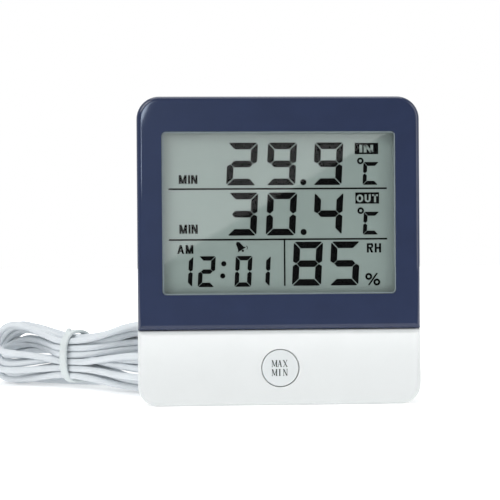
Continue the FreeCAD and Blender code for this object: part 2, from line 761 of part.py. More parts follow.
def make_cable():
    radius = size("cable_radius")
    tube("probe_cable_lead", round_route([Vector(*point) for point in LEAD_ROUTE]), radius)
    tube("probe_cable_tail", round_route([Vector(*point) for point in TAIL_ROUTE]), radius)

    hank = new_body("probe_cable_hank")
    extrude(hank, "hank_slab", "y", "-hank_depth", "hank_depth", [("polygon", HANK_OUTLINE)])
    round_edges(hank, "hank_edges", "2.6", any_of(lies_at_y("hank_depth"), lies_at_y("-hank_depth")))
    hank.Placement = hank_placement()

    # the tie goes once round the waist
    middle = Vector(size("tie_at"), 0, size("tie_z"))
    ring = Part.Wire([Part.Ellipse(middle, size("tie_half_height"), size("tie_half_width")).toShape()])
    ring.rotate(middle, Vector(0, 1, 0), 90)
    item = tube("hank_tie", ring, size("tie_radius"))
    item.Placement = hank_placement()


def make_probe():
    joint, heading = Vector(*TAIL_ROUTE[-1]), Vector(0.885, -0.464, 0).normalize()
    turn = FreeCAD.Rotation(Vector(0, 0, 1), heading)
    sleeve = doc.addObject("Part::Cylinder", "probe_sleeve")
    sleeve.setExpression("Radius", bound("sleeve_radius"))
    sleeve.setExpression("Height", bound("sleeve_length"))
    sleeve.Placement = FreeCAD.Placement(joint, turn)
    start = joint + heading * size("sleeve_length")
    barrel = doc.addObject("Part::Cylinder", "probe_barrel")
    barrel.setExpression("Radius", bound("probe_radius"))
    barrel.setExpression("Height", bound("probe_length"))
    barrel.Placement = FreeCAD.Placement(start, turn)
    nose = doc.addObject("Part::Sphere", "probe_nose")
    nose.setExpression("Radius", bound("probe_radius"))
    nose.Placement = FreeCAD.Placement(start + heading * size("probe_length"), turn)
    joined("probe_tip", [barrel, nose])


# --- Build and write ----------------------------------------------------------------------------

make_rear_case()
make_front_bezel()
make_front_lower_panel()
make_display_lens()
make_display_stack()
make_boards()
make_front_key()
for number, name in enumerate(("unit", "set", "mode")):
    make_rear_key(number, name)
make_battery()
make_battery_door()
make_stand()
make_screws()
make_grommet()
make_cable()
make_probe()
doc.recompute()

NODES = [
    "rear_case", "front_bezel", "front_lower_panel", "display_lens", "lcd_glass", "lcd_reflector", "lcd_holder",
    "zebra_connector", "circuit_board", "button_board", "chip_blob", "quartz_crystal", "buzzer",
    "humidity_sensor", "indoor_thermistor", "max_min_switch", "mode_switch", "set_switch", "unit_switch",
    "max_min_button", "max_min_plunger", "mode_button", "mode_plunger", "set_button", "set_plunger",
    "unit_button", "unit_plunger", "battery_cell", "battery_contact", "battery_spring",
    "battery_lead_negative", "battery_lead_positive", "battery_door", "stand", "case_screws", "board_screws",
    "cable_grommet", "probe_cable_lead", "probe_cable_hank", "probe_cable_tail", "hank_tie", "probe_sleeve",
    "probe_tip",
]

for item in doc.Objects:
    if "Invalid" in item.State or "Error" in item.State:
        raise RuntimeError(f"{item.Name} has state {item.State}")

for name in NODES:
    part = doc.getObject(name)
    part.Label = name
    shape = part.Shape
    if shape.isNull() or not shape.isValid() or not shape.Solids:
        raise RuntimeError(f"{name} has no valid solid")
    print(f"{name}: {len(shape.Solids)} solid(s), {shape.Volume:.1f} cubic mm")
    shape.exportStep(f"parts/{name}.step")
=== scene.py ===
import math
import random

import bmesh
import bpy
from mathutils import Matrix, Vector


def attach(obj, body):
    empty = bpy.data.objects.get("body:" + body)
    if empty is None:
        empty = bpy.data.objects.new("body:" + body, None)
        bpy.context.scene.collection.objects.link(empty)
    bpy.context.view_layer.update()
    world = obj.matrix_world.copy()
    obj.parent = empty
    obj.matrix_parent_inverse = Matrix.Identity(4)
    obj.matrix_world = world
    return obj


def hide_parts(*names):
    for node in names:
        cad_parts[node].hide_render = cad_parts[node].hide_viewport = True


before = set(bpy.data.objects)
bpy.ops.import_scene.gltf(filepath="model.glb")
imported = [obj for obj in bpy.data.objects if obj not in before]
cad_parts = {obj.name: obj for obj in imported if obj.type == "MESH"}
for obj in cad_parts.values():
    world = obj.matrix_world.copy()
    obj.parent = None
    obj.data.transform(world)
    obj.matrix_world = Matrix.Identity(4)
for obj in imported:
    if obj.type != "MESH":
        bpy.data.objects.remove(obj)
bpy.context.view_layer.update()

MM = 0.001
CASE = "case"
FRONT_Y = -11.0
BACK_Y = 11.0
DISPLAY_Y = -8.15


# --- Materials ----------------------------------------------------------------------------------


def tone(red, green, blue):
    """Linear colour of display values from 0 to 255."""

    def linear(value):
        value /= 255
        return value / 12.92 if value <= 0.04045 else ((value + 0.055) / 1.055) ** 2.4

    return linear(red), linear(green), linear(blue), 1.0


class Surface:
    """A Principled material whose colour, roughness and bump come from noise in the object's own space."""

    def __init__(self, name, colour, roughness, specular=0.5):
        self.name = name
        self.material = bpy.data.materials.new("look_" + name)
        self.material.use_nodes = True
        self.nodes = self.material.node_tree.nodes
        self.links = self.material.node_tree.links
        self.shader = self.nodes["Principled BSDF"]
        self.shader.inputs["Base Color"].default_value = colour
        self.shader.inputs["Roughness"].default_value = roughness
        self.shader.inputs["Specular IOR Level"].default_value = specular
        self.colour = colour
        self.roughness = roughness
        self.place = self.nodes.new("ShaderNodeTexCoord").outputs["Object"]
        self.height = None

    def set(self, **values):
        for name, value in values.items():
            self.shader.inputs[name.replace("_", " ")].default_value = value
        return self

    def noise(self, grain_mm, detail=3.0, stretch=(1, 1, 1)):
        mapping = self.nodes.new("ShaderNodeMapping")
        mapping.inputs["Scale"].default_value = stretch
        texture = self.nodes.new("ShaderNodeTexNoise")
        texture.inputs["Scale"].default_value = 1 / (grain_mm * MM)
        texture.inputs["Detail"].default_value = detail
        self.links.new(self.place, mapping.inputs["Vector"])
        self.links.new(mapping.outputs["Vector"], texture.inputs["Vector"])
        return texture.outputs["Fac"]

    def vary_colour(self, grain_mm, amount):
        """Blotches a little darker and lighter than the colour."""
        ramp = self.nodes.new("ShaderNodeValToRGB")
        for element, factor in zip(ramp.color_ramp.elements, (1 - amount, 1 + amount)):
            element.color = [min(1.0, channel * factor) for channel in self.colour[:3]] + [1.0]
        ramp.color_ramp.elements[0].position = 0.3
        ramp.color_ramp.elements[1].position = 0.7
        self.links.new(self.noise(grain_mm, 4.0), ramp.inputs["Fac"])
        self.links.new(ramp.outputs["Color"], self.shader.inputs["Base Color"])
        return self

    def vary_roughness(self, grain_mm, amount, stretch=(1, 1, 1)):
        spread = self.nodes.new("ShaderNodeMapRange")
        spread.inputs["To Min"].default_value = max(0.0, self.roughness - amount)
        spread.inputs["To Max"].default_value = min(1.0, self.roughness + amount)
        self.links.new(self.noise(grain_mm, 3.0, stretch), spread.inputs["Value"])
        self.links.new(spread.outputs["Result"], self.shader.inputs["Roughness"])
        return self

    def see_through(self, straight, grazing):
        """Clear and smooth: what isn't reflected passes straight through."""
        self.nodes.remove(self.shader)
        clear = self.nodes.new("ShaderNodeBsdfTransparent")
        clear.inputs["Color"].default_value = self.colour
        gloss = self.nodes.new("ShaderNodeBsdfGlossy")
        spread = self.nodes.new("ShaderNodeMapRange")
        spread.inputs["To Min"].default_value = 0.6 * self.roughness
        spread.inputs["To Max"].default_value = 1.6 * self.roughness
        self.links.new(self.noise(18), spread.inputs["Value"])
        self.links.new(spread.outputs["Result"], gloss.inputs["Roughness"])
        facing = self.nodes.new("ShaderNodeLayerWeight")
        facing.inputs["Blend"].default_value = 0.5
        steep = self.nodes.new("ShaderNodeMath")
        steep.operation = "POWER"
        steep.inputs[1].default_value = 5.0
        mirror = self.nodes.new("ShaderNodeMapRange")
        mirror.inputs["To Min"].default_value = straight
        mirror.inputs["To Max"].default_value = grazing
        mix = self.nodes.new("ShaderNodeMixShader")
        self.links.new(facing.outputs["Facing"], steep.inputs[0])
        self.links.new(steep.outputs["Value"], mirror.inputs["Value"])
        self.links.new(mirror.outputs["Result"], mix.inputs["Fac"])
        self.links.new(clear.outputs["BSDF"], mix.inputs[1])
        self.links.new(gloss.outputs["BSDF"], mix.inputs[2])
        self.links.new(mix.outputs["Shader"], self.nodes["Material Output"].inputs["Surface"])
        return self

    def brighten_away(self, near, far, strength_near, strength_far):
        """Glow that grows with the distance from the object's origin, in metres."""
        length = self.nodes.new("ShaderNodeVectorMath")
        length.operation = "LENGTH"
        spread = self.nodes.new("ShaderNodeMapRange")
        spread.interpolation_type = "SMOOTHSTEP"
        for name, value in (("From Min", near), ("From Max", far), ("To Min", strength_near),
                            ("To Max", strength_far)):
            spread.inputs[name].default_value = value
        self.links.new(self.place, length.inputs[0])
        self.links.new(length.outputs["Value"], spread.inputs["Value"])
        self.links.new(spread.outputs["Result"], self.shader.inputs["Emission Strength"])
        return self

    def grain(self, grain_mm, depth_mm, stretch=(1, 1, 1)):
        """Bump of noise; a second call adds to the first."""
        bump = self.nodes.new("ShaderNodeBump")
        bump.inputs["Strength"].default_value = 1.0
        bump.inputs["Distance"].default_value = depth_mm * MM
        self.links.new(self.noise(grain_mm, 2.0, stretch), bump.inputs["Height"])
        if self.height:
            self.links.new(self.height, bump.inputs["Normal"])
        self.height = bump.outputs["Normal"]
        self.links.new(self.height, self.shader.inputs["Normal"])
        return self


def make_materials():
    made = {}

    def keep(surface):
        made[surface.name] = surface.material

    keep(Surface("navy_gloss", tone(38, 50, 82), 0.4, 0.12).set(Coat_Weight=1.0, Coat_Roughness=0.03)
         .vary_colour(9, 0.05).vary_roughness(3, 0.05).grain(0.5, 0.0012))
    keep(Surface("white_gloss", tone(229, 232, 232), 0.30).set(Subsurface_Weight=0.04,
                                                               Subsurface_Radius=(0.002, 0.002, 0.002))
         .vary_colour(14, 0.012).vary_roughness(5, 0.05).grain(0.5, 0.0015))
    keep(Surface("white_satin", tone(222, 224, 223), 0.5).vary_colour(12, 0.015).vary_roughness(4, 0.06)
         .grain(0.35, 0.010).grain(1.4, 0.006))
    keep(Surface("key_white", tone(232, 236, 237), 0.33).vary_colour(6, 0.01).vary_roughness(2, 0.05)
         .grain(0.4, 0.0015))
    keep(Surface("rear_key_grey", tone(170, 174, 178), 0.5).vary_colour(5, 0.03).vary_roughness(2, 0.06)
         .grain(0.3, 0.008))
    keep(Surface("lens_acrylic", tone(255, 255, 255), 0.012).see_through(0.012, 0.9))
    # a light grey painted highlight: the ring that stands for the lens's edge catching light
    keep(Surface("lens_rim", tone(140, 152, 158), 0.2).vary_colour(4, 0.06))
    keep(Surface("display_face", tone(150, 165, 160), 0.03).vary_colour(22, 0.015).vary_roughness(6, 0.01)
         .grain(0.12, 0.0006))
    keep(Surface("display_ink", tone(3, 4, 4), 0.6, 0.0).vary_colour(3, 0.2))
    keep(Surface("display_halo", tone(150, 163, 158), 0.5, 0.1).vary_colour(8, 0.02))
    keep(Surface("reflector_film", tone(150, 156, 152), 0.6).vary_colour(10, 0.03).grain(0.2, 0.003))
    keep(Surface("dark_abs", tone(40, 41, 43), 0.55).vary_colour(6, 0.1).grain(0.4, 0.01))
    keep(Surface("black_resin", tone(16, 16, 17), 0.25).vary_colour(4, 0.2).grain(2.5, 0.03))
    keep(Surface("black_part", tone(24, 24, 25), 0.5).vary_colour(3, 0.15).grain(0.3, 0.006))
    keep(Surface("dark_rubber", tone(28, 28, 30), 0.75).vary_colour(3, 0.15).grain(0.4, 0.01))
    keep(Surface("board_green", tone(20, 92, 50), 0.35).vary_colour(2.5, 0.18).grain(1.2, 0.01))
    keep(Surface("nickel", tone(205, 204, 200), 0.28).set(Metallic=1.0).vary_roughness(1.5, 0.08)
         .grain(0.6, 0.004))
    keep(Surface("zinc_steel", tone(190, 190, 186), 0.34).set(Metallic=1.0).vary_colour(1.5, 0.06)
         .vary_roughness(0.8, 0.1).grain(0.4, 0.004))
    keep(Surface("probe_steel", tone(200, 199, 195), 0.26).set(Metallic=1.0)
         .vary_roughness(0.5, 0.08, (1, 1, 8)).grain(0.25, 0.003, stretch=(6, 6, 1)))
    keep(Surface("sensor_blue", tone(60, 100, 170), 0.5).vary_colour(2, 0.08).grain(0.5, 0.01))
    keep(Surface("cell_wrap", tone(34, 84, 62), 0.28).vary_colour(8, 0.06).grain(5, 0.01))
    keep(Surface("lead_black", tone(22, 22, 23), 0.45).vary_colour(4, 0.15).grain(0.6, 0.01))
    keep(Surface("lead_red", tone(170, 30, 26), 0.45).vary_colour(4, 0.1).grain(0.6, 0.01))
    keep(Surface("cable_pvc", tone(226, 231, 235), 0.42).set(Subsurface_Weight=0.05,
                                                             Subsurface_Radius=(0.001, 0.001, 0.001))
         .vary_colour(9, 0.02).vary_roughness(2, 0.08).grain(0.45, 0.004).grain(6, 0.03))
    keep(Surface("tie_pvc", tone(222, 229, 229), 0.36).vary_colour(4, 0.03).vary_roughness(1.5, 0.06)
         .grain(0.5, 0.008))
    keep(Surface("sleeve_shrink", tone(36, 36, 38), 0.5).vary_colour(2.5, 0.15).vary_roughness(1, 0.1)
         .grain(0.8, 0.02))
    keep(Surface("legend_grey", tone(70, 78, 76), 0.5, 0.2).vary_colour(1.0, 0.12))
    keep(Surface("stage_floor", tone(252, 252, 252), 0.95, 0.0).set(Emission_Color=(1, 1, 1, 1))
         .brighten_away(0.16, 0.45, 0.25, 1.0))
    return made


materials = make_materials()

NODE_MATERIALS = {
    "white_satin": ["rear_case", "battery_door", "stand"],
    "navy_gloss": ["front_bezel"],
    "white_gloss": ["front_lower_panel"],
    "key_white": ["max_min_button"],
    "rear_key_grey": ["mode_button", "set_button", "unit_button"],
    "lens_acrylic": ["display_lens"],
    "display_face": ["lcd_glass"],
    "reflector_film": ["lcd_reflector"],
    "dark_abs": ["lcd_holder", "buzzer"],
    "dark_rubber": ["zebra_connector"],
    "board_green": ["circuit_board", "button_board"],
    "black_resin": ["chip_blob", "indoor_thermistor"],
    "black_part": ["max_min_switch", "mode_switch", "set_switch", "unit_switch", "max_min_plunger",
                   "mode_plunger", "set_plunger", "unit_plunger"],
    "nickel": ["quartz_crystal", "battery_contact", "battery_spring"],
    "sensor_blue": ["humidity_sensor"],
    "cell_wrap": ["battery_cell"],
    "lead_black": ["battery_lead_negative"],
    "lead_red": ["battery_lead_positive"],
    "zinc_steel": ["case_screws", "board_screws"],
    "cable_pvc": ["cable_grommet"],
    "sleeve_shrink": ["probe_sleeve"],
    "probe_steel": ["probe_tip"],
}


def dress(piece, name):
    piece.data.materials.clear()
    piece.data.materials.append(materials[name])


for material_name, node_names in NODE_MATERIALS.items():
    for node_name in node_names:
        dress(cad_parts[node_name], material_name)


# --- Flat marks: display segments, labels, legends ----------------------------------------------


def new_piece(name, mesh, material, body):
    piece = bpy.data.objects.new(name, mesh)
    bpy.context.scene.collection.objects.link(piece)
    dress(piece, material)
    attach(piece, body)
    return piece


def on_front(x, z, y):
    return x * MM, y * MM, z * MM


def on_back(x, z, y):
    """For a mark that is read from behind, where x runs the other way."""
    return -x * MM, y * MM, z * MM


def marks(name, outlines, y, material, body):
    """Flat shapes in the plane at y, each outline a list of (x, z) in mm, counted anticlockwise."""
    mesh = bpy.data.meshes.new(name)
    points, faces = [], []
    for outline in outlines:
        faces.append(list(range(len(points), len(points) + len(outline))))
        points += [on_front(x, z, y) for x, z in outline]
    mesh.from_pydata(points, [], faces)
    return new_piece(name, mesh, material, body)


def slab(x0, x1, z0, z1):
    return [(x0, z0), (x1, z0), (x1, z1), (x0, z1)]


def disc(x, z, radius, count=24):
    return [(x + radius * math.cos(2 * math.pi * i / count), z + radius * math.sin(2 * math.pi * i / count))
            for i in range(count)]


def ring(x, z, outer, inner, count=24):
    """A ring as quads."""
    angles = [2 * math.pi * i / count for i in range(count + 1)]
    corner = [[(x + r * math.cos(a), z + r * math.sin(a)) for a in angles] for r in (inner, outer)]
    return [[corner[0][i], corner[1][i], corner[1][i + 1], corner[0][i + 1]] for i in range(count)]


def mirrored(outline, width=None, height=None):
    """The outline turned over about the digit's middle, across if it gets a width, else upwards."""
    if width is not None:
        return [(width - x, z) for x, z in reversed(outline)]
    return [(x, height - z) for x, z in reversed(outline)]


SEGMENTS = {"0": "abcdef", "1": "bc", "2": "abged", "3": "abgcd", "4": "fgbc", "5": "afgcd", "8": "abcdefg",
            "9": "abcdfg", "C": "afed"}
SLANT = math.tan(math.radians(3.0))


def digit(symbol, x0, x1, z0, z1, thick, gap):
    """The lit segments of one seven-segment figure that fills the box, leaning to the right."""
    height = z1 - z0
    width = x1 - x0 - height * SLANT
    half, cut, middle = thick / 2, 0.11 * thick, height / 2
    top = [(gap + 2 * cut, height), (gap + cut, height - cut), (gap + thick, height - thick),
           (width - gap - thick, height - thick), (width - gap - cut, height - cut),
           (width - gap - 2 * cut, height)]
    right = [(width - half, middle + gap / 2), (width, middle + 0.35 * thick),
             (width, height - gap - 2 * cut),
             (width - cut, height - gap - cut), (width - thick, height - gap - thick),
             (width - thick, middle + half)]
    bar = [(half + gap, middle), (thick + gap, middle - half), (width - thick - gap, middle - half),
           (width - half - gap, middle), (width - thick - gap, middle + half), (thick + gap, middle + half)]
    shapes = {"a": top, "b": right, "g": bar, "d": mirrored(top, height=height),
              "c": mirrored(right, height=height), "f": mirrored(right, width=width)}
    shapes["e"] = mirrored(shapes["f"], height=height)
    return [[(x0 + x + z * SLANT, z0 + z) for x, z in shapes[key]] for key in SEGMENTS[symbol]]


def lettering(name, text, x0, x1, z0, z1):
    """Plain capitals printed on the back of the case, stretched to fill the box."""
    curve = bpy.data.curves.new(name, "FONT")
    curve.body = text
    source = bpy.data.objects.new(name + "_source", curve)
    bpy.context.scene.collection.objects.link(source)
    bpy.context.view_layer.update()
    mesh = bpy.data.meshes.new_from_object(source.evaluated_get(bpy.context.evaluated_depsgraph_get()))
    bpy.data.objects.remove(source)
    across = [vertex.co.x for vertex in mesh.vertices]
    up = [vertex.co.y for vertex in mesh.vertices]
    for vertex in mesh.vertices:
        x = x0 + (x1 - x0) * (vertex.co.x - min(across)) / (max(across) - min(across))
        z = z0 + (z1 - z0) * (vertex.co.y - min(up)) / (max(up) - min(up))
        vertex.co = on_back(x, z, BACK_Y + PRINT_LIFT)
    mesh.name = name
    mesh.materials.clear()
    return new_piece(name, mesh, "legend_grey", CASE)


# The display's rows: lower and upper edge of the figures, width of their strokes, gap between strokes, then
# each figure with its left and right edge.
FIGURE_ROWS = [
    (77.7, 92.8, 2.35, 0.2, [("2", -18.6, -7.2), ("9", -4.4, 6.7), ("9", 12.2, 23.2)]),
    (59.9, 75.1, 2.35, 0.2, [("3", -18.4, -7.2), ("0", -4.7, 6.6), ("4", 12.1, 23.1)]),
    (41.8, 52.7, 1.55, 0.12, [("1", -36.6, -30.3), ("2", -28.9, -22.4), ("0", -15.9, -9.4),
                              ("1", -9.2, -2.9)]),
    (42.0, 57.6, 2.35, 0.2, [("8", 4.5, 15.7), ("5", 17.8, 29.0)]),
]
TEMPERATURE_ROWS = [77.7, 60.0]
ROW_LINES = [76.45, 58.5]
# Each word with its left, right, lower and upper edge. The light ones stand on dark boxes.
DARK_WORDS = [("MIN", -35.3, -28.7, 78.3, 81.4), ("MIN", -35.2, -28.7, 60.7, 63.9),
              ("AM", -36.0, -30.3, 53.6, 56.7), ("RH", 31.3, 36.4, 53.6, 56.9)]
LIGHT_WORDS = [("IN", 28.9, 33.8, 89.2, 91.9), ("OUT", 27.7, 35.4, 71.5, 74.3)]
WORD_BOXES = [(27.2, 35.6, 88.6, 92.6), (27.3, 35.8, 71.0, 75.0)]


def percent_sign():
    return [stroke(31.9, 42.0, 34.9, 46.3, 0.7)] + ring(31.9, 45.1, 1.25, 0.5) + ring(34.8, 43.1, 1.25, 0.5)


def make_display():
    """The reading shown: inside and outside temperature, clock and humidity."""
    shapes = []
    for low, high, thick, gap, figures in FIGURE_ROWS:
        for symbol, left, right in figures:
            shapes += digit(symbol, left, right, low, high, thick, gap)
    for low in TEMPERATURE_ROWS:
        shapes += digit("C", 29.9, 35.9, low, low + 8.1, 1.4, 0.1)
        shapes += ring(29.2, low + 8.5, 1.2, 0.5)
        shapes.append(disc(8.8, low + 1.05, 1.1))
    # the clock's colon, the lines between the rows, and the one between clock and humidity
    shapes += [disc(-19.6, 50.0, 0.92), disc(-20.0, 45.7, 0.92)]
    shapes += [slab(-38.9, 38.6, z - 0.3, z + 0.3) for z in ROW_LINES]
    shapes.append(slab(1.7, 2.25, 42.0, 58.3))
    shapes += [slab(*box) for box in WORD_BOXES]
    shapes += make_bell(-13.8, 55.9)
    for word in DARK_WORDS:
        shapes += sans_word(*word)
    shapes += percent_sign()
    marks("display_segments", shapes, DISPLAY_Y, "display_ink", CASE)
    light = [shape for word in LIGHT_WORDS for shape in sans_word(*word)]
    marks("display_box_words", light, DISPLAY_Y - 0.02, "display_halo", CASE)


def make_lens_highlight_ring():
    """A painted highlight: a thin light grey ring laid flat before the lens stands in for its polished edge
    catching light all round the window.
    """
    left, right, low, high, corner, rim = -40.65, 40.75, 39.55, 96.05, 1.1, 0.3
    outer = rounded(left - rim, right + rim, low - rim, high + rim, corner + rim)
    inner = rounded(left, right, low, high, corner)
    count = len(outer)
    strips = [[inner[i], outer[i], outer[(i + 1) % count], inner[(i + 1) % count]] for i in range(count)]
    marks("lens_highlight_painted", strips, FRONT_Y - 0.01, "lens_rim", CASE)


def rounded(x0, x1, z0, z1, radius):
    """A rectangle's outline with round corners, anticlockwise."""
    outline = []
    for x, z, start in ((x1 - radius, z0 + radius, -90), (x1 - radius, z1 - radius, 0),
                        (x0 + radius, z1 - radius, 90), (x0 + radius, z0 + radius, 180)):
        for step in range(7):
            angle = math.radians(start + 15 * step)
            outline.append((x + radius * math.cos(angle), z + radius * math.sin(angle)))
    return outline


def sans_letter(letter, x, z, width, height, stem):
    """A plain bold capital from straight and bent strokes of one width."""
    right, top, middle = x + width, z + height, x + width / 2
    left_stem, right_stem = slab(x, x + stem, z, top), slab(right - stem, right, z, top)
    if letter == "I":
        return [left_stem]
    if letter == "M":
        return [left_stem, right_stem, stroke(middle, z, x + 0.65 * stem, top, stem),
                stroke(middle, z, right - 0.65 * stem, top, stem)]
    if letter == "N":
        return [left_stem, right_stem, stroke(right - 0.6 * stem, z, x + 0.6 * stem, top, 1.15 * stem)]
    if letter == "A":
        bar, inset = z + 0.22 * height, 0.28 * width
        return [stroke(x + stem / 2, z, middle, top, stem), stroke(right - stem / 2, z, middle, top, stem),
                slab(x + inset, right - inset, bar, bar + 0.8 * stem)]
    if letter == "H":
        bar = z + 0.5 * height
        return [left_stem, right_stem, slab(x, right, bar - 0.42 * stem, bar + 0.42 * stem)]
    if letter == "T":
        return [slab(middle - stem / 2, middle + stem / 2, z, top), slab(x, right, top - 0.9 * stem, top)]
    if letter == "R":
        waist, bend = z + 0.42 * height, 0.3 * width
        bars = [slab(x, right - bend, low, low + 0.85 * stem) for low in (top - 0.85 * stem, waist)]
        bowl = bent(right - bend, (top + waist) / 2 + 0.2 * stem, bend, (top - waist) / 2, stem, -90, 90)
        return [left_stem, *bars, *bowl, stroke(right - stem / 2, z, middle, waist + 0.4 * stem, 1.1 * stem)]
    if letter == "U":
        return [slab(x, x + stem, z + width / 2, top), slab(right - stem, right, z + width / 2, top),
                *bent(middle, z + width / 2, width / 2, width / 2, stem, 180, 360)]
    return bent(middle, z + height / 2, width / 2, height / 2, stem, 0, 360)


def bent(x, z, across, up, thick, start, end):
    """An arc of an ellipse as quads, from start to end degrees."""
    count = 16
    angles = [math.radians(start + (end - start) * i / count) for i in range(count + 1)]
    outer = [(x + across * math.cos(a), z + up * math.sin(a)) for a in angles]
    inner = [(x + (across - thick) * math.cos(a), z + (up - thick * 0.85) * math.sin(a)) for a in angles]
    return [[inner[i], outer[i], outer[i + 1], inner[i + 1]] for i in range(count)]


LETTER_WIDTH = {"M": 1.12, "I": 0.22, "N": 0.92, "A": 1.0, "R": 0.9, "H": 0.9, "O": 1.0, "U": 0.88, "T": 0.85}


def sans_word(word, x0, x1, z0, z1):
    """Bold capitals spread over the box."""
    space = 0.2
    total = sum(LETTER_WIDTH[letter] for letter in word) + space * (len(word) - 1)
    unit = (x1 - x0) / total
    shapes, x = [], x0
    for letter in word:
        width = LETTER_WIDTH[letter] * unit
        shapes += sans_letter(letter, x, z0, width, z1 - z0, 0.24 * unit + 0.12)
        x += width + space * unit
    return shapes


def make_bell(x, z):
    """The alarm mark: a small bell that leans to the left and swings."""
    lean = math.radians(32)
    half = [(0.2, 1.75), (0.62, 1.35), (0.8, 0.4), (1.0, -0.5), (1.55, -1.05)]
    body = [(-a, b) for a, b in half] + [(a, b) for a, b in reversed(half)]
    pieces = [body, disc(0.1, -1.45, 0.36, 12)]
    pieces += bent(1.0, -1.1, 1.0, 0.8, 0.22, -70, 30)
    along, up = 1.15 * math.cos(lean), 1.15 * math.sin(lean)
    return [[(x + a * along - b * up, z + a * up + b * along) for a, b in piece] for piece in pieces]


def stroke(x0, z0, x1, z1, width):
    """A slanted stem with level ends, drawn upwards."""
    return [(x0 - width / 2, z0), (x0 + width / 2, z0), (x1 + width / 2, z1), (x1 - width / 2, z1)]


THICK, THIN, SERIF = 0.42, 0.17, 0.14


def serif(x, z, reach=0.3):
    return slab(x - reach, x + reach, z - SERIF / 2, z + SERIF / 2)


def serif_letter(letter, x, z, width, height):
    """A roman capital with serifs, from strokes of two widths."""
    low, high = z + SERIF / 2, z + height - SERIF / 2
    left, right, middle = x + 0.2, x + width - 0.25, x + width / 2
    if letter == "M":
        return [stroke(left, low, left, high, THIN), stroke(right, low, right, high, THICK),
                stroke(middle, low + 0.15, left + 0.12, high, THICK * 0.9),
                stroke(middle, low + 0.15, right, high, THIN),
                serif(left, low, 0.24), serif(right, low), serif(left, high, 0.24), serif(right, high)]
    if letter == "A":
        return [stroke(left, low, middle, high, THIN), stroke(right, low, middle, high, THICK),
                slab(left + 0.2, right - 0.15, z + 0.3 * height, z + 0.3 * height + 0.13),
                serif(left, low, 0.24), serif(right, low)]
    if letter == "X":
        return [stroke(right, low, left, high, THICK), stroke(left, low, right, high, THIN),
                serif(left, low, 0.24), serif(right, low), serif(left, high), serif(right, high, 0.24)]
    if letter == "I":
        return [stroke(middle, low, middle, high, THICK), serif(middle, low, 0.34), serif(middle, high, 0.34)]
    return [stroke(left, low, left, high, THIN), stroke(right, low, left, high, THICK),
            stroke(right + 0.05, low, right + 0.05, high, THIN), serif(left, low, 0.26),
            serif(left, high, 0.22), serif(right + 0.05, high, 0.26)]


# Printed marks lie this far above the plastic.
PRINT_LIFT = 0.012


def make_key_legend():
    shapes = []
    for word, z in (("MAX", 13.55), ("MIN", 10.4)):
        for letter, x, width in zip(word, (-3.05, -1.0, 0.95), (1.95, 1.55, 1.6)):
            shapes += serif_letter(letter, x, z, width, 2.45)
    for number, shape in enumerate(shapes):
        # each stroke lies a hair before the last, so that crossing strokes don't share a plane
        depth = FRONT_Y - PRINT_LIFT - number * 0.0003
        marks(f"key_legend_{number}", [shape], depth, "legend_grey", "max_min_key")


def make_rear_legends():
    """Words beside the rear keys and marks on the battery door, read from behind."""
    for number, text in enumerate(("C/F", "SET", "MODE")):
        z = 69.0 + 11.0 * number
        lettering(f"rear_word_{number}", text, 24.0 - 1.75 * len(text), 24.0, z - 1.1, z + 1.1)
    lettering("bay_plus", "+", -31.6, -29.4, 60.2, 62.4)


# --- The probe cable ----------------------------------------------------------------------------

CABLE_RADIUS = 1.3
HANK_X, HANK_Y, HANK_TURN = -29.5, 19.0, math.radians(146.5)
TIE_AT = 62.0
LEAD_ROUTE = [(-26.0, 14.5, 36.0), (-26.0, 30.0, 36.0), (-47.0, 33.0, 23.5)]
TAIL_ROUTE = [(-83.2, 61.0, 1.4), (-67.7, 55.6, 1.4), (-53.4, 48.1, 2.4)]

# The three nested turns of a layer, from the inmost. At the waist they lie above each other. In the fans on
# both sides they are as wide as a soft bend lets them be, so the inner ones lean over: their tops go back.
WAIST = [1.35, 4.05, 6.75]
WAIST_HEIGHT, WAIST_STEP, WAIST_STAGGER = 12.45, 2.6, 0.62
RIGHT_RADIUS, RIGHT_LEAN, RIGHT_HEIGHT = [8.3, 10.2, 12.4], [76, 36, 3], 14.0
LEFT_RADIUS, LEFT_LEAN, LEFT_HEIGHT = [8.1, 9.1, 11.2], [78, 36, 4], 12.8
# In the fans the layers lie LAYER_STEP apart, and each leans by its own angle, of which a nest takes a share.
LAYER_STEP = [1.0, 1.7, 2.6]
LAYER_LEAN = [16, -8, 4, -16]
LEAN_SHARE = [0.3, 1.0, 0.2]
# How far up each layer's turns sit in the fans, for the inmost nest, the middle one and the outer one.
DRIFT = [[1.9, -1.9, 0.9, -1.0], [-0.6, 0.8, -1.4, 0.3], [0.5, -0.5, 0.3, -0.3]]
HANK_LENGTH = 102
LOWEST = CABLE_RADIUS + 0.1
SWAY = 0.3


def hank_point(along, across, up):
    """A point of the hank in mm: along it from its right end, across it towards the back, and up."""
    x = HANK_X + along * math.cos(HANK_TURN) + across * math.sin(HANK_TURN)
    y = HANK_Y + along * math.sin(HANK_TURN) - across * math.cos(HANK_TURN)
    return Vector((x, y, up))


def ease(value):
    value = min(1.0, max(0.0, value))
    return value * value * (3 - 2 * value)


def fan_place(layer, nest, side, radii, leans, middle):
    """Where a turn's upper (side 1) or lower (side -1) run passes a fan: across and up."""
    lean = math.radians(leans[nest] + LAYER_LEAN[layer] * LEAN_SHARE[nest])
    across = (layer - 1.5) * LAYER_STEP[nest] + side * radii[nest] * math.sin(lean)
    up = middle + DRIFT[nest][layer] + side * radii[nest] * math.cos(lean)
    return Vector((across, up))


